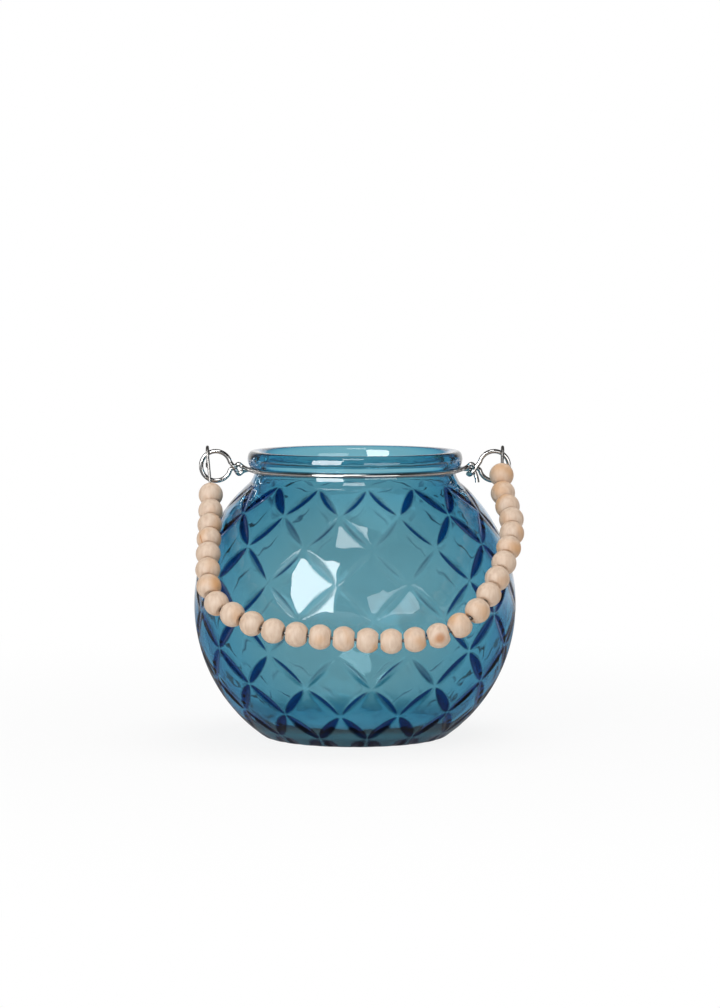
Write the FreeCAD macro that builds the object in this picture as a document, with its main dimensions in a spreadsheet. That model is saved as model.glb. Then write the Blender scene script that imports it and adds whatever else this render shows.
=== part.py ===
import FreeCAD, Part
import Sketcher
import math
import os

from FreeCAD import Placement, Rotation, Vector

# Driving dimensions, millimetres, degrees and plain ratios
SIZES = {
    "globe_radius": 64.0,
    "foot_cut": 11.0,
    "wall": 3.0,
    "floor_thickness": 6.0,
    "heel_radius": 5.95,
    "hollow_radius": 17.4,
    "neck_radius": 40.0,
    "neck_wall": 3.2,
    "neck_fillet": 2.5,
    "neck_height": 9.85,
    "lip_overhang": 2.7,
    "lip_height": 6.6,
    "lip_round": 3.1,
    "diamonds_round": 14.0,
    "diamond_turn": 19.3,
    "shoulder_land": 1.43,
    "heel_land": 4.68,
    "groove_width": 3.6,
    "node_land": 0.9,
    "collar_wire": 1.5,
    "collar_clearance": 0.15,
    "eye_radius": 5.9,
    "eye_stem": 14.3,
    "eye_rise": 1.4,
    "twist_spread": 2.5,
    "tail_length": 5.0,
    "bail_wire": 1.2,
    "bail_axis_rise": 3.7,
    "bail_loop_radius": 3.8,
    "bail_leg_angle": 72.0,
    "bail_spread": 1.0805,
    "left_bare_wire": 16.9,
    "right_bare_wire": 9.7,
    "bead_gap": 1.0,
    "bead_roundness": 1.2,
    "bead_bore": 2.5,
}
# Dimensions that follow from the driving ones
FOLLOWING = {
    "globe_height": "=globe_radius - foot_cut",
    "inner_radius": "=globe_radius - wall",
    "foot_radius": "=sqrt((globe_radius - heel_radius) ^ 2 - (globe_height - heel_radius) ^ 2)",
    "floor_drop": "=globe_height - floor_thickness",
    "floor_radius": "=sqrt((inner_radius - hollow_radius) ^ 2 - (floor_drop - hollow_radius) ^ 2)",
    "mouth_radius": "=neck_radius - neck_wall",
    "lip_radius": "=neck_radius + lip_overhang",
    "shoulder_height": "=globe_height + sqrt((globe_radius + neck_fillet) ^ 2 - (neck_radius + neck_fillet) ^ 2)",
    "jar_height": "=shoulder_height + neck_height",
    "lip_bottom": "=jar_height - lip_height",
    "collar_radius": "=neck_radius + collar_clearance + collar_wire / 2",
    "collar_height": "=lip_bottom - collar_clearance - collar_wire / 2",
    "eye_reach": "=collar_radius + eye_stem",
    "eye_height": "=collar_height + eye_rise",
    "bail_axis_height": "=eye_height + bail_axis_rise",
}
BEAD_COUNT = 29
DIAMOND_ROWS = 8

doc = FreeCAD.newDocument("lantern_jar")
sheet = doc.addObject("Spreadsheet::Sheet", "Sizes")


def add_size(name, value):
    row = len(sheet.getUsedCells()) // 2 + 1
    sheet.set("A%d" % row, name)
    sheet.set("B%d" % row, str(value))
    sheet.setAlias("B%d" % row, name)


for name, value in list(SIZES.items()) + list(FOLLOWING.items()):
    add_size(name, value)
doc.recompute()


def size(name):
    return float(sheet.get(name))


def origin_plane(body, role):
    return next(f for f in body.Origin.OriginFeatures if f.Role == role)


# Bent wire: straight runs joined by tangent arcs, swept by a round section
ARC_SHARE = 0.45


def wire_path(points):
    edges = []
    start = points[0]
    for before, corner, after in zip(points, points[1:], points[2:]):
        back = (before - corner).normalize()
        ahead = (after - corner).normalize()
        turn = math.pi - back.getAngle(ahead)
        trim = ARC_SHARE * min((before - corner).Length, (after - corner).Length)
        radius = trim / math.tan(turn / 2)
        bisector = (back + ahead).normalize()
        middle = corner + bisector * (radius / math.cos(turn / 2) - radius)
        entry = corner + back * trim
        leave = corner + ahead * trim
        edges.append(Part.LineSegment(start, entry).toShape())
        edges.append(Part.Arc(entry, middle, leave).toShape())
        start = leave
    edges.append(Part.LineSegment(start, points[-1]).toShape())
    return Part.Wire(edges)


def add_wire(label, points, diameter):
    path = wire_path(points)
    section = Part.Face(Part.Wire(Part.makeCircle(size(diameter) / 2, points[0], points[1] - points[0])))
    wire = doc.addObject("Part::Feature", label)
    wire.Shape = path.makePipe(section)
    wire.Placement = Placement()
    wire.Label = label
    print(label, "length %.1f" % path.Length, "volume by length %.1f" % (section.Area * path.Length))
    return wire


def ring_corners(centre, first, second, radius, start, step, count):
    """Corners of an open polygon that circumscribes a circle, as bends of a round loop."""
    reach = radius / math.cos(math.radians(step / 2))
    corners = []
    for k in range(count):
        angle = math.radians(start + step * (k + 0.5))
        corners.append(centre + first * (reach * math.cos(angle)) + second * (reach * math.sin(angle)))
    return corners


# Glass jar: a turned globe with a rolled lip, then diamonds marked by leaf grooves
def heel_points(offset, level, heel):
    """Middle and upper end of the heel between a level floor and the globe."""
    globe = Vector(0, size("globe_height"), 0)
    centre = Vector(offset, level + heel, 0)
    outwards = (centre - globe).normalize()
    middle = centre + (outwards + Vector(0, -1, 0)).normalize() * heel
    return middle, centre + outwards * heel


def bulge(start, end, radius):
    """Middle point of an arc of a given radius that bulges to the right of the way from start to end."""
    chord = end - start
    rise = radius - math.sqrt(radius ** 2 - chord.Length ** 2 / 4)
    return (start + end) * 0.5 + Vector(chord.y, -chord.x, 0).normalize() * rise


def profile_points():
    """Corners of the profile in order from the foot's centre, and the middles of its arcs."""
    centre = size("globe_height")
    outer = size("globe_radius")
    inner = size("inner_radius")
    neck = size("neck_radius")
    mouth = size("mouth_radius")
    fillet = size("neck_fillet")
    top = size("jar_height")
    lip_mid = top - size("lip_height") / 2

    hub = Vector(neck + fillet, size("shoulder_height"), 0)
    inwards = (Vector(0, centre, 0) - hub).normalize()
    globe_top = hub + inwards * fillet
    neck_low = Vector(neck, hub.y, 0)
    fillet_mid = hub + (inwards + Vector(-1, 0, 0)).normalize() * fillet

    heel_mid, globe_low = heel_points(size("foot_radius"), 0, size("heel_radius"))
    hollow_mid, inner_low = heel_points(size("floor_radius"), size("floor_thickness"), size("hollow_radius"))
    inner_top = Vector(mouth, centre + math.sqrt(inner ** 2 - mouth ** 2), 0)

    lip_root = Vector(neck, size("lip_bottom"), 0)
    lip_edge = Vector(size("lip_radius"), lip_mid, 0)
    lip_crest = Vector((mouth + size("lip_radius")) / 2, top, 0)
    mouth_edge = Vector(mouth, lip_mid, 0)
    roll = size("lip_round")
    points = [Vector(0, 0, 0), Vector(size("foot_radius"), 0, 0), globe_low, globe_top, neck_low, lip_root,
              lip_edge, lip_crest, mouth_edge, inner_top, inner_low,
              Vector(size("floor_radius"), size("floor_thickness"), 0), Vector(0, size("floor_thickness"), 0)]
    middles = {1: heel_mid, 2: Vector(outer, centre, 0), 3: fillet_mid, 5: bulge(lip_root, lip_edge, roll),
               6: bulge(lip_edge, lip_crest, roll), 7: bulge(lip_crest, mouth_edge, roll),
               9: Vector(inner, centre, 0), 10: hollow_mid}
    return points, middles


def add_profile(body):
    sketch = body.newObject("Sketcher::SketchObject", "jar_profile")
    sketch.AttachmentSupport = [(origin_plane(body, "XZ_Plane"), "")]
    sketch.MapMode = "FlatFace"
    points, middles = profile_points()
    # A sketch keeps its arcs anticlockwise, so a clockwise arc has its two ends the other way round
    ends = []
    for k, start in enumerate(points):
        end = points[(k + 1) % len(points)]
        if k in middles:
            sketch.addGeometry(Part.Arc(start, middles[k], end))
            clockwise = (middles[k] - start).cross(end - middles[k]).z < 0
            ends.append((2, 1) if clockwise else (1, 2))
        else:
            sketch.addGeometry(Part.LineSegment(start, end))
            ends.append((1, 2))

    foot, heel, globe, fillet, neck, lip_under, lip_over, lip_inside, mouth, inside, hollow, floor, axis = range(13)
    smooth = (foot, heel, globe, fillet, inside, hollow)
    rules = []
    for k in range(len(points)):
        follower = (k + 1) % len(points)
        kind = "Tangent" if k in smooth else "Coincident"
        rules.append(Sketcher.Constraint(kind, k, ends[k][1], follower, ends[follower][0]))
    rules.append(Sketcher.Constraint("Coincident", foot, 1, -1, 1))
    for line in (foot, floor):
        rules.append(Sketcher.Constraint("Horizontal", line))
    for line in (neck, mouth, axis):
        rules.append(Sketcher.Constraint("Vertical", line))
    rules.append(Sketcher.Constraint("PointOnObject", globe, 3, -2))
    rules.append(Sketcher.Constraint("Coincident", inside, 3, globe, 3))
    sketch.addConstraint(rules)

    lip_mid = "Sizes.jar_height - Sizes.lip_height / 2"
    dimensions = [
        ("Radius", "heel_round", heel, "Sizes.heel_radius"),
        ("DistanceY", "globe_middle", (globe, 3), "Sizes.globe_height"),
        ("Radius", "globe_round", globe, "Sizes.globe_radius"),
        ("Radius", "inner_round", inside, "Sizes.inner_radius"),
        ("Radius", "neck_blend", fillet, "Sizes.neck_fillet"),
        ("DistanceX", "neck_side", (neck, 2), "Sizes.neck_radius"),
        ("DistanceY", "neck_top", (neck, 2), "Sizes.lip_bottom"),
        ("DistanceX", "lip_side", (lip_under, ends[lip_under][1]), "Sizes.lip_radius"),
        ("DistanceY", "lip_side_height", (lip_under, ends[lip_under][1]), lip_mid),
        ("DistanceX", "crest_side", (lip_over, ends[lip_over][1]), "(Sizes.mouth_radius + Sizes.lip_radius) / 2"),
        ("DistanceY", "crest_height", (lip_over, ends[lip_over][1]), "Sizes.jar_height"),
        ("DistanceX", "mouth_side", (mouth, 1), "Sizes.mouth_radius"),
        ("DistanceY", "mouth_height", (mouth, 1), lip_mid),
        ("Radius", "lip_under_roll", lip_under, "Sizes.lip_round"),
        ("Radius", "lip_over_roll", lip_over, "Sizes.lip_round"),
        ("Radius", "lip_inner_roll", lip_inside, "Sizes.lip_round"),
        ("Radius", "hollow_round", hollow, "Sizes.hollow_radius"),
        ("DistanceY", "floor_height", (floor, 1), "Sizes.floor_thickness"),
    ]
    for kind, name, where, formula in dimensions:
        if kind == "Radius":
            number = sketch.addConstraint(Sketcher.Constraint(kind, where, sketch.Geometry[where].Radius))
        else:
            place = sketch.getPoint(*where)
            value = place.x if kind == "DistanceX" else place.y
            number = sketch.addConstraint(Sketcher.Constraint(kind, -1, 1, *where, value))
        sketch.renameConstraint(number, name)
        sketch.setExpression("Constraints." + name, formula)
    return sketch


def sphere_point(ring_z, angle):
    radius = math.sqrt(size("globe_radius") ** 2 - (ring_z - size("globe_height")) ** 2)
    return Vector(radius * math.cos(angle), radius * math.sin(angle), ring_z)


def ring_heights():
    """Rings of diamond corners, evenly spaced along the globe from its shoulder to its heel."""
    centre = size("globe_height")
    radius = size("globe_radius")
    shoulder = math.atan2(size("shoulder_height") - centre, size("neck_radius") + size("neck_fillet"))
    heel = math.atan2(size("heel_radius") - centre, size("foot_radius"))
    top = shoulder - size("shoulder_land") / radius
    low = heel + size("heel_land") / radius
    return [centre + radius * math.sin(top + (low - top) * k / DIAMOND_ROWS) for k in range(DIAMOND_ROWS + 1)]


def add_groove(body, number, first, last):
    """A leaf-shaped groove: a wedge whose edge lies just inside the chord between two diamond corners."""
    radius = size("globe_radius")
    along = (last - first).normalize()
    half = (last - first).Length / 2 - size("node_land")
    out = (first + last - Vector(0, 0, 2 * size("globe_height"))).normalize()
    depth = radius - math.sqrt(radius ** 2 - half ** 2)
    flank = size("groove_width") / 2 / depth
    above = depth
    wedge = body.newObject("PartDesign::SubtractiveWedge", "groove_%d" % number)
    wide = flank * (depth + above)
    wedge.Xmin, wedge.Xmax = -wide, wide
    wedge.X2min, wedge.X2max = 0, 0
    wedge.Zmin, wedge.Zmax = -half, half
    wedge.Z2min, wedge.Z2max = -half, half
    wedge.Ymin, wedge.Ymax = 0, depth + above
    base = Vector(0, 0, size("globe_height")) + out * (radius + above)
    across = (-out).cross(along)
    turned = FreeCAD.Matrix(across.x, -out.x, along.x, base.x, across.y, -out.y, along.y, base.y,
                            across.z, -out.z, along.z, base.z, 0, 0, 0, 1)
    wedge.Placement = Placement(turned)
    wedge.Refine = False
    return wedge


def add_jar():
    body = doc.addObject("PartDesign::Body", "glass_jar")
    sketch = add_profile(body)
    turned = body.newObject("PartDesign::Revolution", "jar_turned")
    turned.Profile = sketch
    turned.ReferenceAxis = (sketch, ["V_Axis"])
    turned.Angle = 360.0
    turned.Refine = False
    pitch = 2 * math.pi / size("diamonds_round")
    rings = ring_heights()
    grooves = []
    for row in range(DIAMOND_ROWS):
        start = (row % 2) * pitch / 2
        corner = sphere_point(rings[row], start)
        for lean in (-1, 1):
            next_corner = sphere_point(rings[row + 1], start + lean * pitch / 2)
            grooves.append(add_groove(body, len(grooves), corner, next_corner))
    pattern = body.newObject("PartDesign::PolarPattern", "grooves_round")
    pattern.Originals = grooves
    pattern.Axis = (origin_plane(body, "Z_Axis"), [""])
    pattern.Angle = 360.0
    pattern.setExpression("Occurrences", "Sizes.diamonds_round")
    pattern.Refine = False
    body.Tip = pattern
    body.Label = "glass_jar"
    body.Placement = Placement(Vector(0, 0, 0), Rotation(Vector(0, 0, 1), size("diamond_turn")))
    body.setExpression("Placement.Rotation.Angle", "Sizes.diamond_turn")
    doc.recompute()
    return body


# Collar: one wire round the neck, twisted into an eye on each side
EYE_START, EYE_STEP, EYE_BENDS = 30.0, 50.0, 6
NECK_START, NECK_STEP, NECK_BENDS = 20.0, 20.0, 7


def collar_points():
    wire = size("collar_wire")
    ring = size("collar_radius")
    ring_z = size("collar_height")
    strand = wire / 2 + size("collar_clearance")
    leave = math.radians(NECK_START)
    fork = (ring - strand * math.sin(leave)) / math.cos(leave)
    root = size("eye_reach") - size("eye_radius")
    lens = (fork + root) / 2
    spread = size("twist_spread")
    up = Vector(0, 0, 1)
    back = Vector(0, 1, 0)

    def half_ring(first):
        return ring_corners(Vector(0, 0, ring_z), Vector(1, 0, 0), back, ring, first, NECK_STEP, NECK_BENDS)

    def side(sign, front):
        """The fork and the crest of one strand beside the neck."""
        shift = -strand if front else strand
        lift = spread if front else -spread
        return [Vector(sign * fork, shift, ring_z), Vector(sign * lens, shift / 2, ring_z + lift)]

    def eye(sign):
        corners = ring_corners(Vector(sign * size("eye_reach"), 0, size("eye_height")), Vector(-sign, 0, 0), -up,
                               size("eye_radius"), EYE_START, EYE_STEP, EYE_BENDS)
        for k, corner in enumerate(corners):
            corner.y = strand * (1 - 2 * k / (EYE_BENDS - 1))
        return corners

    tail = [Vector(root - wire, strand, ring_z - size("tail_length")), Vector(lens, strand, ring_z - spread)]
    back_ring = half_ring(NECK_START)
    front_ring = half_ring(180 + NECK_START)
    right_end = Vector(root - wire / 2, -2 * strand, size("eye_height") + wire)
    return (tail + [Vector(fork, strand, ring_z)] + back_ring + side(-1, False)[:1]
            + [Vector(-lens, strand / 2, ring_z - spread)] + list(reversed(eye(-1)))
            + list(reversed(side(-1, True))) + front_ring + side(1, True) + eye(1) + [right_end])


# Bail: a stiff wire with an end loop through each eye, strung with wooden beads
BAIL_LOOP_STEP, BAIL_LOOP_BENDS = 50.0, 6
EYE_CROSSING = 55.0
# Each bend to the right, forwards and up from the globe's middle, as shares of the beads' distance from it
BAIL_BENDS = [(-0.821, 0.098, 0.631), (-0.823, 0.541, 0.339), (-0.819, 0.737, 0.180), (-0.769, 0.837, 0.074),
              (-0.659, 0.921, 0.021), (-0.474, 1.004, -0.052), (-0.203, 1.038, -0.082), (0.213, 1.049, -0.110),
              (0.495, 1.062, -0.071), (0.680, 1.024, 0.057), (0.813, 0.803, 0.261), (0.899, 0.486, 0.488),
              (0.830, 0.166, 0.670)]


def bail_points():
    reach = size("eye_reach") + size("eye_radius") * math.cos(math.radians(EYE_CROSSING))
    axis_z = size("bail_axis_height")
    spread = size("bail_spread") * size("globe_radius")
    middle = Vector(0, 0, size("globe_height"))
    bends = [middle + Vector(right, -front, up) * spread for right, front, up in BAIL_BENDS]
    lean = math.radians(size("bail_leg_angle"))
    along = Vector(0, -math.cos(lean), -math.sin(lean))
    out = Vector(0, -math.sin(lean), math.cos(lean))
    loop = size("bail_loop_radius")
    end = math.radians(BAIL_LOOP_STEP * BAIL_LOOP_BENDS)
    tip = out * (loop * math.cos(end)) - along * (loop * math.sin(end))

    def end_loop(side):
        hinge = Vector(side * reach, 0, axis_z)
        return ring_corners(hinge, out, -along, loop, 0, BAIL_LOOP_STEP, BAIL_LOOP_BENDS) + [hinge + tip]

    return list(reversed(end_loop(-1))) + bends + end_loop(1)


def add_beads(path):
    """Beads threaded along the bail wire, each bored and cut flat at both ends."""
    loop_arc = math.radians(BAIL_LOOP_STEP * BAIL_LOOP_BENDS) * size("bail_loop_radius")
    first = loop_arc + size("left_bare_wire")
    last = path.Length - loop_arc - size("right_bare_wire")
    pitch = (last - first) / (BEAD_COUNT - 1)
    add_size("bead_pitch", pitch)
    add_size("bead_length", "=bead_pitch - bead_gap")
    add_size("bead_radius", "=bead_length * bead_roundness / 2")
    doc.recompute()
    beads = []
    for k in range(BEAD_COUNT):
        label = "bead_%02d" % (k + 1)
        centre, tangent = point_along(path, first + k * pitch)
        ball = doc.addObject("Part::Sphere", label + "_ball")
        ball.setExpression("Radius", "Sizes.bead_radius")
        ball.setExpression("Angle1", "-asin(1 / Sizes.bead_roundness)")
        ball.setExpression("Angle2", "asin(1 / Sizes.bead_roundness)")
        bore = doc.addObject("Part::Cylinder", label + "_bore")
        bore.setExpression("Radius", "Sizes.bead_bore / 2")
        bore.setExpression("Height", "2 * Sizes.bead_length")
        bore.setExpression("Placement.Base.z", "-Sizes.bead_length")
        bead = doc.addObject("Part::Cut", label)
        bead.Base = ball
        bead.Tool = bore
        bead.Label = label
        bead.Placement = Placement(centre, Rotation(Vector(0, 0, 1), tangent))
        beads.append(bead)
    return beads


def point_along(path, place):
    for edge in path.OrderedEdges:
        if place <= edge.Length:
            parameter = edge.getParameterByLength(place)
            if edge.Orientation == "Reversed":
                parameter = edge.getParameterByLength(edge.Length - place)
            tangent = edge.tangentAt(parameter)
            if edge.Orientation == "Reversed":
                tangent = -tangent
            return edge.valueAt(parameter), tangent
        place -= edge.Length
    raise ValueError("the wire ends before the last bead")


jar = add_jar()
collar = add_wire("collar_wire", collar_points(), "collar_wire")
bail = add_wire("bail_wire", bail_points(), "bail_wire")
doc.recompute()
beads = add_beads(wire_path(bail_points()))
doc.recompute()

sub_parts = [jar, collar, bail] + beads
for item in doc.Objects:
    if "Invalid" in item.State or "Error" in item.State:
        raise RuntimeError("%s failed: %s" % (item.Name, item.State))
for item in sub_parts:
    if item.Shape.isNull() or not item.Shape.isValid():
        raise RuntimeError("%s has no valid shape" % item.Label)

os.makedirs("parts", exist_ok=True)
for item in sub_parts:
    item.Shape.exportStep("parts/%s.step" % item.Label)
    print(item.Label, "volume %.1f" % item.Shape.Volume, "solids", len(item.Shape.Solids))
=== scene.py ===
import math

import bpy
from mathutils import Matrix, Vector


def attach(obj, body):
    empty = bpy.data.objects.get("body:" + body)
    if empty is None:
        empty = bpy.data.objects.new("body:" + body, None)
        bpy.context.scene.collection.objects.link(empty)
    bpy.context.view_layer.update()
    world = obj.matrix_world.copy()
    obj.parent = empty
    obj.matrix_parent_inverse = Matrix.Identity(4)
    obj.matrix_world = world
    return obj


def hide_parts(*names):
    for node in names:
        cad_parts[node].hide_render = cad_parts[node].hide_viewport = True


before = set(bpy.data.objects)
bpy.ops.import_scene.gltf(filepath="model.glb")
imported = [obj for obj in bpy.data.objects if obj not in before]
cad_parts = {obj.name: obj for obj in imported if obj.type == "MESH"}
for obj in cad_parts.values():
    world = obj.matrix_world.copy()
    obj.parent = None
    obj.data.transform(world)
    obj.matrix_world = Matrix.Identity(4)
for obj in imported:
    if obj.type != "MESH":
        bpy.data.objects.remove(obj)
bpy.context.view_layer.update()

MM = 0.001

# Jar, in millimetres and degrees, as in the CAD part
GLOBE_RADIUS = 64.0
GLOBE_HEIGHT = 53.0
WALL = 3.0
FLOOR_THICKNESS = 6.0
FOOT_RADIUS = 34.0
INNER_FLOOR_RADIUS = 32.0
NECK_RADIUS = 40.0
MOUTH_RADIUS = 36.8
JAR_HEIGHT = 114.0
LIP_RADIUS = 42.7
LIP_HEIGHT = 6.6
DIAMONDS_ROUND = 14
DIAMOND_ROWS = 8
DIAMOND_TURN = 19.3
DIAMOND_TOP = 101.3
DIAMOND_BOTTOM = 4.0

# Grooves between the diamonds: softer than the CAD part's wedges, and they run on down the heel
GROOVE_WIDTH = 3.8
GROOVE_DEPTH = 0.55
GROOVE_SOFTNESS = 0.10
VALLEY_SOFTNESS = 1.5       # times the softness of the edges
SHALLOWEST_CUT = 0.02
MARK_SLOPE = 1.2            # how fast the mark for the finish fades beside a groove
HEEL_ROWS = 0.58            # rows that the grooves run on below the last diamond
HEEL_FADE_ROWS = 0.2
ROW_SLACK = 0.01
SKIN_DEPTH = 1.2            # the outer face lies no deeper than this inside the globe

# Mesh of the jar
STEPS_PER_DIAMOND = 16
HEEL_STEPS = 8
INNER_STEPS = 22
INNER_HEEL_STEPS = 6
LIP_STEPS = 10
LIP_FIRST_ANGLE = -80
LIP_ANGLE_STEP = 17
LIP_BULGE = 0.55            # of half the lip's height
NECK_STEPS = 2
NECK_EASE = 0.03            # radians left free for the bend into the neck
MOUTH_EASE = 0.04
MOUTH_STRAIGHT = 2.5        # height of the straight mouth's end over the inner globe
# Bends as (radius, height) beyond the neck's foot, the lip's underside and the mouth's top
NECK_BEND = [(0.5, 0.6), (0.0, 1.8)]
LIP_BEND = [(0.0, -1.0), (0.4, -0.2)]
MOUTH_BEND = [(1.6, -0.1), (0.5, -0.7), (0.0, -2.0)]
MERGE_DISTANCE = 1e-6

# Collar wire, in millimetres: thicker than in the CAD part, as in the photo
COLLAR_WIRE = 1.8
COLLAR_RADIUS = 41.0
COLLAR_HEIGHT = 106.4
EYE_RADIUS = 5.9
EYE_REACH = 55.2
EYE_HEIGHT = 107.9
STRAND = 0.95
EYE_STEP = 15
CROSSING_START = 30         # degrees round an eye
CROSSING_SPAN = 125
EYE_GAP = 14                # degrees round the neck, from an eye to the arc beside it
NECK_ARC_STEPS = 16
PATH_STEPS = 4
WIRE_SIDES = 12


class NodeTree:
    """Adds nodes to a tree and links their sockets by name."""

    def __init__(self, tree):
        self.tree = tree

    def add(self, kind, inputs=None, **settings):
        node = self.tree.nodes.new(kind)
        for name, value in settings.items():
            setattr(node, name, value)
        for name, value in (inputs or {}).items():
            self.feed(node.inputs[name], value)
        return node

    def feed(self, socket, value):
        if isinstance(value, bpy.types.NodeSocket):
            self.tree.links.new(value, socket)
        else:
            socket.default_value = value

    def math(self, operation, first, second=None):
        node = self.add("ShaderNodeMath", {0: first}, operation=operation)
        if second is not None:
            self.feed(node.inputs[1], second)
        return node.outputs[0]

    def plus(self, first, second):
        return self.math("ADD", first, second)

    def minus(self, first, second):
        return self.math("SUBTRACT", first, second)

    def times(self, first, second):
        return self.math("MULTIPLY", first, second)

    def over(self, first, second):
        return self.math("DIVIDE", first, second)

    def larger(self, first, second):
        return self.math("MAXIMUM", first, second)

    def share(self, amount):
        """The amount, kept between 0 and 1."""
        return self.math("MINIMUM", self.larger(amount, 0.0), 1.0)

    def length(self, first, second):
        return self.math("SQRT", self.plus(self.times(first, first), self.times(second, second)))

    def fade(self, amount, start, end, first, last, curve="LINEAR"):
        """Goes from first to last while the amount goes from start to end."""
        return self.add("ShaderNodeMapRange", {0: amount, 1: start, 2: end, 3: first, 4: last},
                        interpolation_type=curve).outputs[0]

    def mix(self, share, first, second):
        """The first colour, with a share of the second."""
        return self.add("ShaderNodeMix", {0: share, "A": first, "B": second},
                        data_type="RGBA").outputs[2]

    def split(self, vector):
        return self.add("ShaderNodeSeparateXYZ", {0: vector}).outputs

    def noise(self, where, scale, detail):
        return self.add("ShaderNodeTexNoise", {"Vector": where, "Scale": scale,
                                               "Detail": detail}).outputs[0]


def new_object(name, data):
    obj = bpy.data.objects.new(name, data)
    bpy.context.collection.objects.link(obj)
    return obj


def new_line(name, points):
    """An object of edges through points in millimetres."""
    mesh = bpy.data.meshes.new(name)
    mesh.from_pydata([tuple(c * MM for c in p) for p in points],
                     [(i, i + 1) for i in range(len(points) - 1)], [])
    return new_object(name, mesh)


def plain_mesh(obj):
    """Turns an object's modifiers into its mesh and drops them."""
    evaluated = obj.evaluated_get(bpy.context.evaluated_depsgraph_get())
    mesh = bpy.data.meshes.new_from_object(evaluated)
    obj.modifiers.clear()
    obj.data = mesh
    return obj


# Glass jar: a lathed profile whose globe is quilted by a geometry tree

def globe_angle(height):
    return math.asin((height - GLOBE_HEIGHT) / GLOBE_RADIUS)


def arc_points(centre, radius, first, last, count):
    steps = [first + (last - first) * i / count for i in range(count + 1)]
    return [(centre[0] + radius * math.cos(a), centre[1] + radius * math.sin(a)) for a in steps]


def bend_points(radius, height, bend):
    return [(radius + out, height + up) for out, up in bend]


def heel_arc(globe, flat, drop):
    """Radius and end angle of the arc from a flat of some radius, below the centre, to a globe."""
    radius = (globe ** 2 - flat ** 2 - drop ** 2) / (2 * (globe - drop))
    return radius, math.atan2(radius - drop, flat)


def outer_profile():
    """(radius, height) from the foot's centre up to the underside of the lip."""
    centre = (0, GLOBE_HEIGHT)
    top = globe_angle(DIAMOND_TOP)
    heel, heel_angle = heel_arc(GLOBE_RADIUS, FOOT_RADIUS, GLOBE_HEIGHT)
    neck_angle = math.acos(NECK_RADIUS / GLOBE_RADIUS)
    neck_height = GLOBE_HEIGHT + GLOBE_RADIUS * math.sin(neck_angle)
    points = [(0.0, 0.0), (FOOT_RADIUS * 0.5, 0.0)]
    points += arc_points((FOOT_RADIUS, heel), heel, -math.pi / 2, heel_angle, HEEL_STEPS)
    points += arc_points(centre, GLOBE_RADIUS, globe_angle(DIAMOND_BOTTOM), top,
                         DIAMOND_ROWS * STEPS_PER_DIAMOND)
    points += arc_points(centre, GLOBE_RADIUS, top, neck_angle - NECK_EASE, NECK_STEPS)[1:]
    points += bend_points(NECK_RADIUS, neck_height, NECK_BEND)
    return points + bend_points(NECK_RADIUS, JAR_HEIGHT - LIP_HEIGHT, LIP_BEND)


def lip_profile():
    """(radius, height) round the rolled lip and down into the mouth."""
    half = LIP_HEIGHT / 2
    bulge = half * LIP_BULGE
    middle = JAR_HEIGHT - LIP_HEIGHT + half
    turns = [math.radians(LIP_FIRST_ANGLE + LIP_ANGLE_STEP * i) for i in range(LIP_STEPS + 1)]
    points = [(LIP_RADIUS - bulge + bulge * math.cos(a), middle + half * math.sin(a))
              for a in turns]
    return points + bend_points(MOUTH_RADIUS, JAR_HEIGHT, MOUTH_BEND)


def inner_profile():
    """(radius, height) from below the mouth down the inner wall to the floor's centre."""
    globe = GLOBE_RADIUS - WALL
    mouth_angle = math.acos(MOUTH_RADIUS / globe)
    heel, heel_angle = heel_arc(globe, INNER_FLOOR_RADIUS, GLOBE_HEIGHT - FLOOR_THICKNESS)
    points = [(MOUTH_RADIUS, GLOBE_HEIGHT + globe * math.sin(mouth_angle) + MOUTH_STRAIGHT)]
    points += arc_points((0, GLOBE_HEIGHT), globe, mouth_angle - MOUTH_EASE, heel_angle,
                         INNER_STEPS)
    points += arc_points((INNER_FLOOR_RADIUS, FLOOR_THICKNESS + heel), heel,
                         heel_angle, -math.pi / 2, INNER_HEEL_STEPS)[1:]
    return points + [(INNER_FLOOR_RADIUS * 0.5, FLOOR_THICKNESS), (0.0, FLOOR_THICKNESS)]


def new_geometry_tree(name, sizes):
    """A tree from geometry to geometry, with a number input for each size."""
    tree = bpy.data.node_groups.new(name, "GeometryNodeTree")
    tree.interface.new_socket("Geometry", in_out="INPUT", socket_type="NodeSocketGeometry")
    for size in sizes:
        tree.interface.new_socket(size, in_out="INPUT", socket_type="NodeSocketFloat")
    tree.interface.new_socket("Geometry", in_out="OUTPUT", socket_type="NodeSocketGeometry")
    n = NodeTree(tree)
    return tree, n, n.add("NodeGroupInput").outputs


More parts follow.
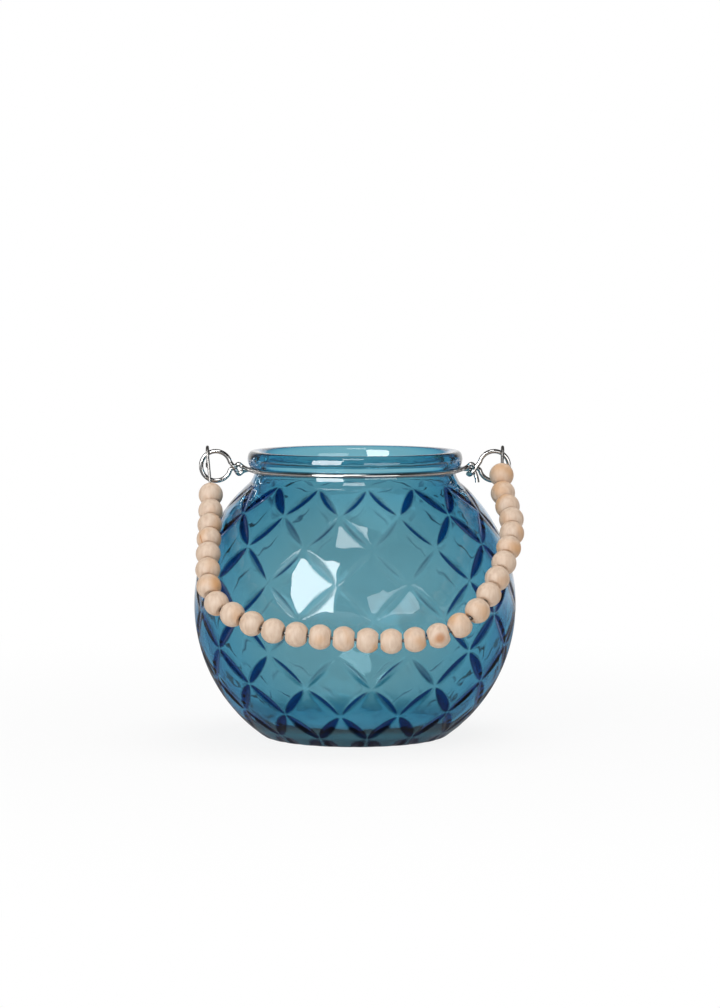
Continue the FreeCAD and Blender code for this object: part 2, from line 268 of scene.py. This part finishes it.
def quilting_tree(material, sizes):
    """Presses leaf-shaped grooves between the diamond corners of the globe."""
    tree, n, given = new_geometry_tree("quilted_glass", sizes)
    here = n.add("GeometryNodeInputPosition").outputs[0]
    place = n.split(here)
    x = n.times(place[0], 1 / MM)
    y = n.times(place[1], 1 / MM)
    z = n.minus(n.times(place[2], 1 / MM), given["Globe Height"])
    radius = n.length(x, y)
    reach = n.length(radius, z)
    angle = n.math("ARCTAN2", z, radius)

    # Diamonds counted round the globe and down it, and the two leaning lines of grooves
    top = globe_angle(DIAMOND_TOP)
    row_angle = (top - globe_angle(DIAMOND_BOTTOM)) / DIAMOND_ROWS
    turn = n.minus(n.math("ARCTAN2", y, x), math.radians(DIAMOND_TURN))
    across = n.over(n.times(turn, given["Diamonds Round"]), 2 * math.pi)
    down = n.over(n.minus(top, angle), row_angle)
    lean = [n.minus(across, n.times(down, 0.5)), n.plus(across, n.times(down, 0.5))]
    near = [n.minus(line, n.math("ROUND", line)) for line in lean]
    along = [n.math("FRACT", line) for line in reversed(lean)]

    # Size of a diamond here, and how deep its grooves are
    half_width = n.over(n.times(radius, math.pi), given["Diamonds Round"])
    row_height = n.times(given["Globe Radius"], row_angle)
    chord = n.length(half_width, row_height)
    per_line = n.over(n.times(n.times(half_width, row_height), 2.0), chord)
    full_chord = math.hypot(math.pi * GLOBE_RADIUS / DIAMONDS_ROUND, GLOBE_RADIUS * row_angle)
    deepest = n.times(n.over(chord, full_chord), given["Groove Depth"])
    flank = n.over(n.times(deepest, 2.0), given["Groove Width"])

    cuts, marks = [], []
    for offset, way in zip(near, along):
        bow = n.times(n.times(way, n.minus(1.0, way)), 4.0)
        beside = n.times(offset, per_line)
        spread = n.over(n.math("ABSOLUTE", beside), given["Groove Width"])
        marks.append(n.larger(n.minus(n.math("SQRT", bow), n.times(spread, MARK_SLOPE)), 0.0))
        aside = n.length(beside, n.times(given["Softness"], VALLEY_SOFTNESS))
        left = n.minus(n.times(bow, deepest), n.times(aside, flank))
        soft = n.plus(left, n.length(left, given["Softness"]))
        cuts.append(n.larger(n.times(n.minus(soft, SHALLOWEST_CUT), 0.5), 0.0))

    # Only the outer face is cut, from the first row down to the foot
    outside = n.math("GREATER_THAN", reach, n.minus(given["Globe Radius"], SKIN_DEPTH))
    to_foot = n.minus(n.plus(given["Diamond Rows"], HEEL_ROWS), down)
    in_rows = n.times(n.math("GREATER_THAN", down, -ROW_SLACK),
                      n.share(n.over(to_foot, HEEL_FADE_ROWS)))
    quilted = n.times(outside, in_rows)

    depth = n.times(n.times(n.larger(cuts[0], cuts[1]), quilted), -MM)
    centre = n.add("ShaderNodeCombineXYZ", {2: n.times(given["Globe Height"], MM)}).outputs[0]
    outwards = n.add("ShaderNodeVectorMath", {0: here, 1: centre}, operation="SUBTRACT").outputs[0]
    unit = n.add("ShaderNodeVectorMath", {0: outwards}, operation="NORMALIZE").outputs[0]
    press = n.add("ShaderNodeVectorMath", {0: unit, "Scale": depth}, operation="SCALE").outputs[0]

    # The finish reads "groove" for the grooves' painted shade, their painted dimmer reflections and
    # their roughness; it is stored before the pressing moves the points
    marked = n.add("GeometryNodeStoreNamedAttribute",
                   {"Geometry": given["Geometry"], "Name": "groove"},
                   data_type="FLOAT", domain="POINT")
    value = next(i for i in marked.inputs if i.name == "Value" and i.type == "VALUE")
    n.feed(value, n.times(n.larger(marks[0], marks[1]), quilted))
    pressed = n.add("GeometryNodeSetPosition", {"Geometry": marked.outputs[0], "Offset": press})

    # Each face is split along the groove that is nearer
    leaning = n.math("LESS_THAN", n.math("ABSOLUTE", near[0]), n.math("ABSOLUTE", near[1]))
    first = n.add("GeometryNodeTriangulate", {0: pressed.outputs[0], 1: leaning},
                  quad_method="FIXED")
    other = n.add("GeometryNodeTriangulate", {0: first.outputs[0]}, quad_method="FIXED_ALTERNATE")
    real = n.add("GeometryNodeRealizeInstances", {0: other.outputs[0]})
    smooth = n.add("GeometryNodeSetShadeSmooth", {0: real.outputs[0]})
    dressed = n.add("GeometryNodeSetMaterial", {0: smooth.outputs[0], "Material": material})
    n.add("NodeGroupOutput", {0: dressed.outputs[0]})
    return tree


def make_jar(material):
    profile = outer_profile() + lip_profile() + inner_profile()
    jar = new_line("glass", [(radius, 0.0, height) for radius, height in profile])
    jar.data.transform(Matrix.Rotation(math.radians(DIAMOND_TURN), 4, "Z"))
    lathe = jar.modifiers.new("lathe", "SCREW")
    lathe.steps = lathe.render_steps = DIAMONDS_ROUND * STEPS_PER_DIAMOND * 2
    lathe.use_merge_vertices = True
    lathe.merge_threshold = MERGE_DISTANCE
    lathe.use_normal_calculate = True
    sizes = {"Globe Radius": GLOBE_RADIUS, "Globe Height": GLOBE_HEIGHT,
             "Groove Width": GROOVE_WIDTH, "Groove Depth": GROOVE_DEPTH,
             "Softness": GROOVE_SOFTNESS, "Diamonds Round": DIAMONDS_ROUND,
             "Diamond Rows": DIAMOND_ROWS}
    quilt = jar.modifiers.new("quilt", "NODES")
    quilt.node_group = quilting_tree(material, sizes)
    for item in quilt.node_group.interface.items_tree:
        if item.in_out == "INPUT" and item.name in sizes:
            quilt[item.identifier] = float(sizes[item.name])
    return plain_mesh(jar)


# Collar: one wire round the neck, bent into an eye on each side

def eye_ring(side):
    """A full turn round one eye, from the lower strand over the outer side to the upper strand."""
    points = []
    for degrees in range(EYE_STEP, 361 - EYE_STEP, EYE_STEP):
        angle = math.radians(degrees)
        crossing = 1 - (degrees - CROSSING_START) / CROSSING_SPAN
        points.append((side * (EYE_REACH - EYE_RADIUS * math.cos(angle)),
                       STRAND * max(-1.0, min(1.0, crossing)),
                       EYE_HEIGHT - EYE_RADIUS * math.sin(angle)))
    return points


def neck_arc(first, last):
    turns = [math.radians(first + (last - first) * i / NECK_ARC_STEPS)
             for i in range(NECK_ARC_STEPS + 1)]
    return [(COLLAR_RADIUS * math.cos(a), COLLAR_RADIUS * math.sin(a), COLLAR_HEIGHT)
            for a in turns]


def collar_path():
    """The wire from its cut tail at the right, round both eyes, to the end wrapped at the right."""
    z = COLLAR_HEIGHT
    tail = [(48.7, 2.0, z - 5.2), (48.3, 2.3, z - 3.0), (47.2, 2.4, z - 0.6), (45.0, 1.9, z + 0.1)]
    low_left = [(-44.2, 1.0, z - 0.5), (-46.2, 0.5, z - 1.7), (-47.9, -STRAND, z + 0.9)]
    high_left = [(-47.9, STRAND, z + 0.9), (-46.2, -0.5, z + 2.3), (-44.2, -1.0, z + 1.0)]
    high_right = [(44.2, -1.0, z + 1.0), (46.2, -0.5, z + 2.3), (47.9, STRAND, z + 0.9)]
    wrap = [(47.9, -STRAND - 0.1, z + 0.9), (46.6, -1.4, z - 0.9),
            (45.6, -0.4, z - 1.9), (44.9, 0.9, z - 1.6)]
    back = neck_arc(EYE_GAP, 180 - EYE_GAP)
    front = neck_arc(180 + EYE_GAP, 360 - EYE_GAP)
    return (tail + back + low_left + eye_ring(-1)[::-1] + high_left
            + front + high_right + eye_ring(1) + wrap)


def smooth_path(points, steps):
    """Catmull-Rom curve through the points."""
    path = []
    ends = [points[0]] + points + [points[-1]]
    for i in range(len(points) - 1):
        a, b, c, d = (Vector(p) for p in ends[i:i + 4])
        for k in range(steps):
            t = k / steps
            path.append(0.5 * (2 * b + (c - a) * t + (2 * a - 5 * b + 4 * c - d) * t ** 2
                               + (3 * b - a - 3 * c + d) * t ** 3))
    return path + [Vector(points[-1])]


def wire_tree(material, thickness):
    """Sweeps a round wire along a line of edges."""
    tree, n, given = new_geometry_tree("swept_wire", [])
    line = n.add("GeometryNodeMeshToCurve", {"Mesh": given["Geometry"]})
    section = n.add("GeometryNodeCurvePrimitiveCircle",
                    {"Resolution": WIRE_SIDES, "Radius": thickness / 2})
    swept = n.add("GeometryNodeCurveToMesh", {"Curve": line.outputs[0], "Fill Caps": True,
                                              "Profile Curve": section.outputs[0]})
    smooth = n.add("GeometryNodeSetShadeSmooth", {0: swept.outputs[0]})
    real = n.add("GeometryNodeRealizeInstances", {0: smooth.outputs[0]})
    dressed = n.add("GeometryNodeSetMaterial", {0: real.outputs[0], "Material": material})
    n.add("NodeGroupOutput", {0: dressed.outputs[0]})
    return tree


def make_collar(material):
    collar = new_line("collar", smooth_path(collar_path(), PATH_STEPS))
    sweep = collar.modifiers.new("sweep", "NODES")
    sweep.node_group = wire_tree(material, COLLAR_WIRE * MM)
    return plain_mesh(collar)


# Finishes: tints are stops of (amount, colour), noises are (scale, detail) and bumps are
# (strength, distance). The glass has painted shade: its colour darkens where it turns from the eye
# and in the grooves, and what the grooves mirror is painted dimmer

GLASS_IOR = 1.5
FACE_TINTS_AND_LIMB_SHADE = [(0.15, (0.70, 0.72, 0.72)), (0.50, (0.36, 0.62, 0.74)), (0.85, (0.0, 0.24, 0.56))]
GROOVE_SHADE_TINTS = [(0.05, (0.60, 0.66, 0.68)), (0.25, (0.0, 0.012, 0.09)),
                (0.50, (0.0, 0.003, 0.05)), (0.75, (0.0, 0.04, 0.25))]
GROOVE_EDGE = 0.74          # mark at which a groove's painted shade starts when the groove faces the eye
GROOVE_EDGE_SLOPE = 1.5
GROOVE_EDGE_LEAST = 0.08
GROOVE_EDGE_SHARPNESS = 3.5
GROOVE_ROUGHNESS = 0.2
# Painted shade on reflections: the grooves mirror only this share of what is round them
GROOVE_REFLECTION_SHADE = 0.12
REFLECTION_SHADE_MARKS = (0.05, 0.45)
BASE_TINT = (0.08, 0.48, 0.53, 1.0)
BASE_HEIGHTS = (0.012, 0.004)
BASE_TINT_SHARE = 0.6
BASE_CLOUDING = 0.25
GLASS_WAVES = (60.0, 2.0)
GLASS_BUMP = (0.16, 0.002)
GLASS_ROUGHNESS = 0.03
GLASS_DEPTH_TINT = (0.27, 0.73, 0.83, 1.0)
GLASS_DENSITY = 320.0

WIRE_HAZE = (900.0, 4.0)
WIRE_BUMP = (0.01, 0.0005)
WIRE_DARK_SHARE = 0.82
WIRE_TINT_STOPS = (0.35, 0.65)
WIRE_ROUGHNESS_RANGE = 0.1
COLLAR_TONE = (0.62, 0.61, 0.60)
COLLAR_DULLNESS = 0.08
# Partly the steel's own grey and partly painted shade: the bail is darkened so that the wire seen
# between the beads looks shaded
BAIL_TONE_AND_GAP_SHADE = (0.28, 0.27, 0.26)
BAIL_DULLNESS = 0.40

GRAIN_STRETCH = (1.0, 1.0, 0.22)
GRAIN = (800.0, 3.0)
GRAIN_BUMP = (0.05, 0.0006)
GRAIN_TINTS = [(0.25, (0.59, 0.42, 0.30)), (0.5, (0.68, 0.51, 0.38)), (0.75, (0.74, 0.59, 0.465))]
WARM_PATCHES = (105.0, 1.0)
WARM_TINT = (0.66, 0.36, 0.16, 1.0)
WARM_START = 0.50
WARM_SLOPE = 3.5
WOOD_ROUGHNESS = 0.5
WOOD_ROUGHNESS_RANGE = 0.2
KNOT_TINT = (0.52, 0.20, 0.055, 1.0)
KNOT_SHARE = 0.8
KNOT_SPOT = (32.0, -77.4, 47.6)
KNOT_REACH = 2.6
CRACK_SPOT = (-59.4, -33.9, 81.2)
CRACK_REACH = 3.2
CRACK_SLANT = 0.3
CRACK_OFFSET = 0.0353
CRACK_WIDTHS = (0.1, 0.3)
SPOT_CORE = 0.4             # of a spot's reach


def new_finish(name):
    material = bpy.data.materials.new(name)
    material.use_nodes = True
    material.node_tree.nodes.clear()
    n = NodeTree(material.node_tree)
    shader = n.add("ShaderNodeBsdfPrincipled")
    output = n.add("ShaderNodeOutputMaterial", {"Surface": shader.outputs[0]})
    where = n.add("ShaderNodeTexCoord").outputs["Object"]
    return material, n, shader, output, where


def colour_ramp(n, amount, stops):
    node = n.add("ShaderNodeValToRGB", {0: amount})
    while len(node.color_ramp.elements) < len(stops):
        node.color_ramp.elements.new(0.5)
    for element, (position, colour) in zip(node.color_ramp.elements, stops):
        element.position = position
        element.color = (*colour, 1.0)
    return node.outputs[0]


def add_bump(n, shader, height, strength, distance):
    bump = n.add("ShaderNodeBump", {"Height": height, "Strength": strength, "Distance": distance})
    n.feed(shader.inputs["Normal"], bump.outputs[0])


def blue_glass():
    material, n, shader, output, where = new_finish("blue_glass")
    shader.inputs["IOR"].default_value = GLASS_IOR
    groove = n.add("ShaderNodeAttribute", attribute_name="groove").outputs["Fac"]
    turned = n.add("ShaderNodeLayerWeight", {"Blend": 0.5}).outputs["Facing"]
    edge = n.larger(n.minus(GROOVE_EDGE, n.times(turned, GROOVE_EDGE_SLOPE)), GROOVE_EDGE_LEAST)
    painted_groove_shade = n.share(n.times(n.minus(groove, edge), GROOVE_EDGE_SHARPNESS))
    # Painted shade: the colour darkens to deep blue where the glass turns from the eye, and to navy
    # along the grooves, more widely as they turn away
    blue_with_painted_shade = n.mix(painted_groove_shade, colour_ramp(n, turned, FACE_TINTS_AND_LIMB_SHADE), colour_ramp(n, turned, GROOVE_SHADE_TINTS))
    # The thick base is greener and a little cloudy between the grooves
    thick = n.fade(n.split(where)[2], *BASE_HEIGHTS, 0.0, 1.0, "SMOOTHSTEP")
    between = n.minus(1.0, painted_groove_shade)
    base = n.times(n.times(thick, BASE_TINT_SHARE), between)
    clouding = n.times(n.times(thick, BASE_CLOUDING), between)
    n.feed(shader.inputs["Base Color"], n.mix(base, blue_with_painted_shade, BASE_TINT))
    n.feed(shader.inputs["Transmission Weight"], n.minus(1.0, clouding))
    waves = n.noise(where, *GLASS_WAVES)
    n.feed(shader.inputs["Roughness"], n.plus(n.times(waves, GLASS_ROUGHNESS),
                                              n.times(groove, GROOVE_ROUGHNESS)))
    # Painted shade on reflections: what the grooves mirror is made dimmer
    n.feed(shader.inputs["Specular Tint"], n.fade(groove, *REFLECTION_SHADE_MARKS, 1.0, GROOVE_REFLECTION_SHADE))
    add_bump(n, shader, waves, *GLASS_BUMP)
    depth = n.add("ShaderNodeVolumeAbsorption",
                  {"Color": GLASS_DEPTH_TINT, "Density": GLASS_DENSITY})
    n.feed(output.inputs["Volume"], depth.outputs[0])
    return material


def bright_wire(name, tone, dullness):
    material, n, shader, _, where = new_finish(name)
    shader.inputs["Metallic"].default_value = 1.0
    haze = n.noise(where, *WIRE_HAZE)
    tints = zip(WIRE_TINT_STOPS, (tuple(WIRE_DARK_SHARE * c for c in tone), tone))
    n.feed(shader.inputs["Base Color"], colour_ramp(n, haze, list(tints)))
    n.feed(shader.inputs["Roughness"], n.plus(n.times(haze, WIRE_ROUGHNESS_RANGE), dullness))
    add_bump(n, shader, haze, *WIRE_BUMP)
    return material


def near_spot(n, where, spot, reach):
    """1 at a spot of the object, in millimetres, falling to 0 at the reach."""
    centre = tuple(c * MM for c in spot)
    away = n.add("ShaderNodeVectorMath", {0: where, 1: centre}, operation="DISTANCE")
    return n.fade(away.outputs["Value"], reach * SPOT_CORE * MM, reach * MM, 1.0, 0.0)


def thin_line(n, where):
    """1 along one slanting crack."""
    place = n.split(where)
    slanted = n.plus(place[0], n.times(place[2], CRACK_SLANT))
    aside = n.math("ABSOLUTE", n.plus(slanted, CRACK_OFFSET))
    return n.fade(aside, CRACK_WIDTHS[0] * MM, CRACK_WIDTHS[1] * MM, 1.0, 0.0)


def bead_wood():
    """Pale wood with warm patches, a knot on one bead and a crack on another."""
    material, n, shader, _, where = new_finish("bead_wood")
    stretch = n.add("ShaderNodeMapping", {"Vector": where, "Scale": GRAIN_STRETCH})
    grain = n.noise(stretch.outputs[0], *GRAIN)
    patches = n.larger(n.minus(n.noise(where, *WARM_PATCHES), WARM_START), 0.0)
    warm = n.mix(n.times(patches, WARM_SLOPE), colour_ramp(n, grain, GRAIN_TINTS), WARM_TINT)
    crack = n.times(near_spot(n, where, CRACK_SPOT, CRACK_REACH), thin_line(n, where))
    flaw = n.larger(near_spot(n, where, KNOT_SPOT, KNOT_REACH), crack)
    n.feed(shader.inputs["Base Color"], n.mix(n.times(flaw, KNOT_SHARE), warm, KNOT_TINT))
    n.feed(shader.inputs["Roughness"], n.plus(n.times(grain, WOOD_ROUGHNESS_RANGE), WOOD_ROUGHNESS))
    add_bump(n, shader, grain, *GRAIN_BUMP)
    return material


glass = blue_glass()
jar = make_jar(glass)
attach(jar, "jar")
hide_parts("glass_jar")

chrome = bright_wire("bright_collar", COLLAR_TONE, COLLAR_DULLNESS)
steel = bright_wire("dull_bail", BAIL_TONE_AND_GAP_SHADE, BAIL_DULLNESS)
collar = make_collar(chrome)
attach(collar, "jar")
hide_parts("collar_wire")
wood = bead_wood()
for name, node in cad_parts.items():
    finish = {"glass_jar": glass, "collar_wire": chrome, "bail_wire": steel}.get(name, wood)
    node.data.materials.clear()
    node.data.materials.append(finish)


# Floor, light and camera, in metres

WHITE = (1.0, 1.0, 1.0, 1.0)
FLOOR_HALF_SIZE = 6.0
FLOOR_HEIGHT = 0.0001       # a hair above the foot's underside, so that light leaves the glass
FLOOR_TINT = (0.9, 0.9, 0.9, 1.0)
SHADOW_REACH = (0.07, 0.40)
SHADOW_WHITE = 0.86         # share of plain white next to the jar
MIRRORED_WHITE = 0.22       # how bright metal and glass mirror the near floor and the room's sides
MIRRORED_BEHIND = 0.05      # and the side behind the camera
MIRRORED_FLOOR_REACH = (0.30, 1.00)
BEHIND_FROM_TO = (-0.10, -0.60)
BACKDROP_FROM_TO = (0.75, 0.92)
CEILING_FROM_TO = (0.35, 0.70)
CEILING_WHITE = 0.15
SOFT_LIGHT = 0.45

LAMP_TARGET = Vector((0, 0, 0.05))
# Name, place, size and power
LAMPS = [("window", (-0.80, -1.40, 0.48), (0.95, 1.15), 12.0),
         ("overhead", (0.2, -0.1, 1.5), (1.0, 1.0), 10.0)]
GLINTS = [("window_glint", (-0.80, -1.40, 0.52), (0.90, 1.10), 45.0),
          ("sill_glint", (0.76, -1.40, 0.16), (1.10, 0.55), 7.0),
          ("skylight_glint", (-0.05, -0.98, 1.35), (0.50, 0.45), 5.0)]

PICTURE_PIXELS = 1008.0     # height of the picture
FOCAL_PIXELS = 3513.0
SHIFT_PIXELS = (5.0, 89.5)
SENSOR_HEIGHT = 24.0
CAMERA_ELEVATION = 5.5
CAMERA_DISTANCE = 1.4
CAMERA_TARGET = (0.0, 0.0, 0.057)


def ray_kinds(n):
    """Shares for rays that are seen straight or through glass, and for rays that are mirrored."""
    path = n.add("ShaderNodeLightPath").outputs
    through = n.larger(path["Is Camera Ray"], path["Is Transmission Ray"])
    return through, n.times(path["Is Glossy Ray"], n.minus(1.0, through))


def pale_floor():
    """White, with a soft shadow near the jar."""
    material = bpy.data.materials.new("pale_floor")
    material.use_nodes = True
    material.node_tree.nodes.clear()
    n = NodeTree(material.node_tree)
    where = n.add("ShaderNodeTexCoord").outputs["Object"]
    away = n.add("ShaderNodeVectorMath", {0: where}, operation="LENGTH").outputs["Value"]
    through, mirrored = ray_kinds(n)
    dim = n.fade(away, *MIRRORED_FLOOR_REACH, MIRRORED_WHITE, 1.0)
    bright = n.fade(away, *SHADOW_REACH, SHADOW_WHITE, 1.0, "SMOOTHSTEP")
    glow = n.add("ShaderNodeEmission",
                 {"Color": WHITE, "Strength": n.plus(through, n.times(mirrored, dim))})
    paper = n.add("ShaderNodeBsdfDiffuse", {"Color": FLOOR_TINT})
    mixed = n.add("ShaderNodeMixShader", {0: n.plus(n.times(through, bright), mirrored),
                                          1: paper.outputs[0], 2: glow.outputs[0]})
    n.add("ShaderNodeOutputMaterial", {"Surface": mixed.outputs[0]})
    return material


def make_floor():
    corners = [(-1, -1), (1, -1), (1, 1), (-1, 1)]
    mesh = bpy.data.meshes.new("floor")
    mesh.from_pydata([(x * FLOOR_HALF_SIZE, y * FLOOR_HALF_SIZE, FLOOR_HEIGHT) for x, y in corners],
                     [], [(0, 1, 2, 3)])
    floor = new_object("floor", mesh)
    mesh.materials.append(pale_floor())


def make_world():
    """White all round under a dark ceiling. What is mirrored is the backdrop and a dim room."""
    world = bpy.data.worlds.new("studio")
    bpy.context.scene.world = world
    world.use_nodes = True
    world.node_tree.nodes.clear()
    n = NodeTree(world.node_tree)
    place = n.split(n.add("ShaderNodeTexCoord").outputs["Generated"])
    ceiling = n.fade(place[2], *CEILING_FROM_TO, 1.0, CEILING_WHITE, "SMOOTHSTEP")
    room = n.fade(place[1], *BEHIND_FROM_TO, MIRRORED_WHITE, MIRRORED_BEHIND, "SMOOTHSTEP")
    backdrop = n.fade(place[1], *BACKDROP_FROM_TO, 0.0, 1.0, "SMOOTHSTEP")
    through, mirrored = ray_kinds(n)
    shown = n.times(ceiling, n.plus(through, n.times(mirrored, n.larger(room, backdrop))))
    rest = n.minus(1.0, n.plus(through, mirrored))
    white = n.add("ShaderNodeBackground",
                  {"Color": WHITE, "Strength": n.plus(shown, n.times(rest, SOFT_LIGHT))})
    n.add("ShaderNodeOutputWorld", {"Surface": white.outputs[0]})


def add_lamp(name, place, size, power):
    """An area lamp that faces the jar."""
    lamp = bpy.data.lights.new(name, "AREA")
    lamp.shape = "RECTANGLE"
    lamp.size, lamp.size_y = size
    lamp.energy = power
    obj = new_object(name, lamp)
    obj.location = place
    obj.rotation_euler = (LAMP_TARGET - Vector(place)).to_track_quat("-Z", "Y").to_euler()
    return obj


def make_lamps():
    """Lamps that light but are never mirrored, and glints that are mirrored and light nothing else."""
    for lamp in LAMPS:
        add_lamp(*lamp).visible_glossy = False
    for glint in GLINTS:
        obj = add_lamp(*glint)
        obj.visible_diffuse = False
        obj.visible_transmission = False
        obj.visible_volume_scatter = False


def make_camera():
    elevation = math.radians(CAMERA_ELEVATION)
    lens = bpy.data.cameras.new("camera")
    lens.sensor_fit = "VERTICAL"
    lens.sensor_height = SENSOR_HEIGHT
    lens.lens = FOCAL_PIXELS / PICTURE_PIXELS * SENSOR_HEIGHT
    lens.shift_x, lens.shift_y = (shift / PICTURE_PIXELS for shift in SHIFT_PIXELS)
    camera = new_object("camera", lens)
    x, y, z = CAMERA_TARGET
    camera.location = (x, y - CAMERA_DISTANCE * math.cos(elevation),
                       z + CAMERA_DISTANCE * math.sin(elevation))
    camera.rotation_euler = (math.pi / 2 - elevation, 0.0, 0.0)
    bpy.context.scene.camera = camera


make_floor()
make_world()
make_lamps()
make_camera()
bpy.context.scene.view_settings.view_transform = "Standard"
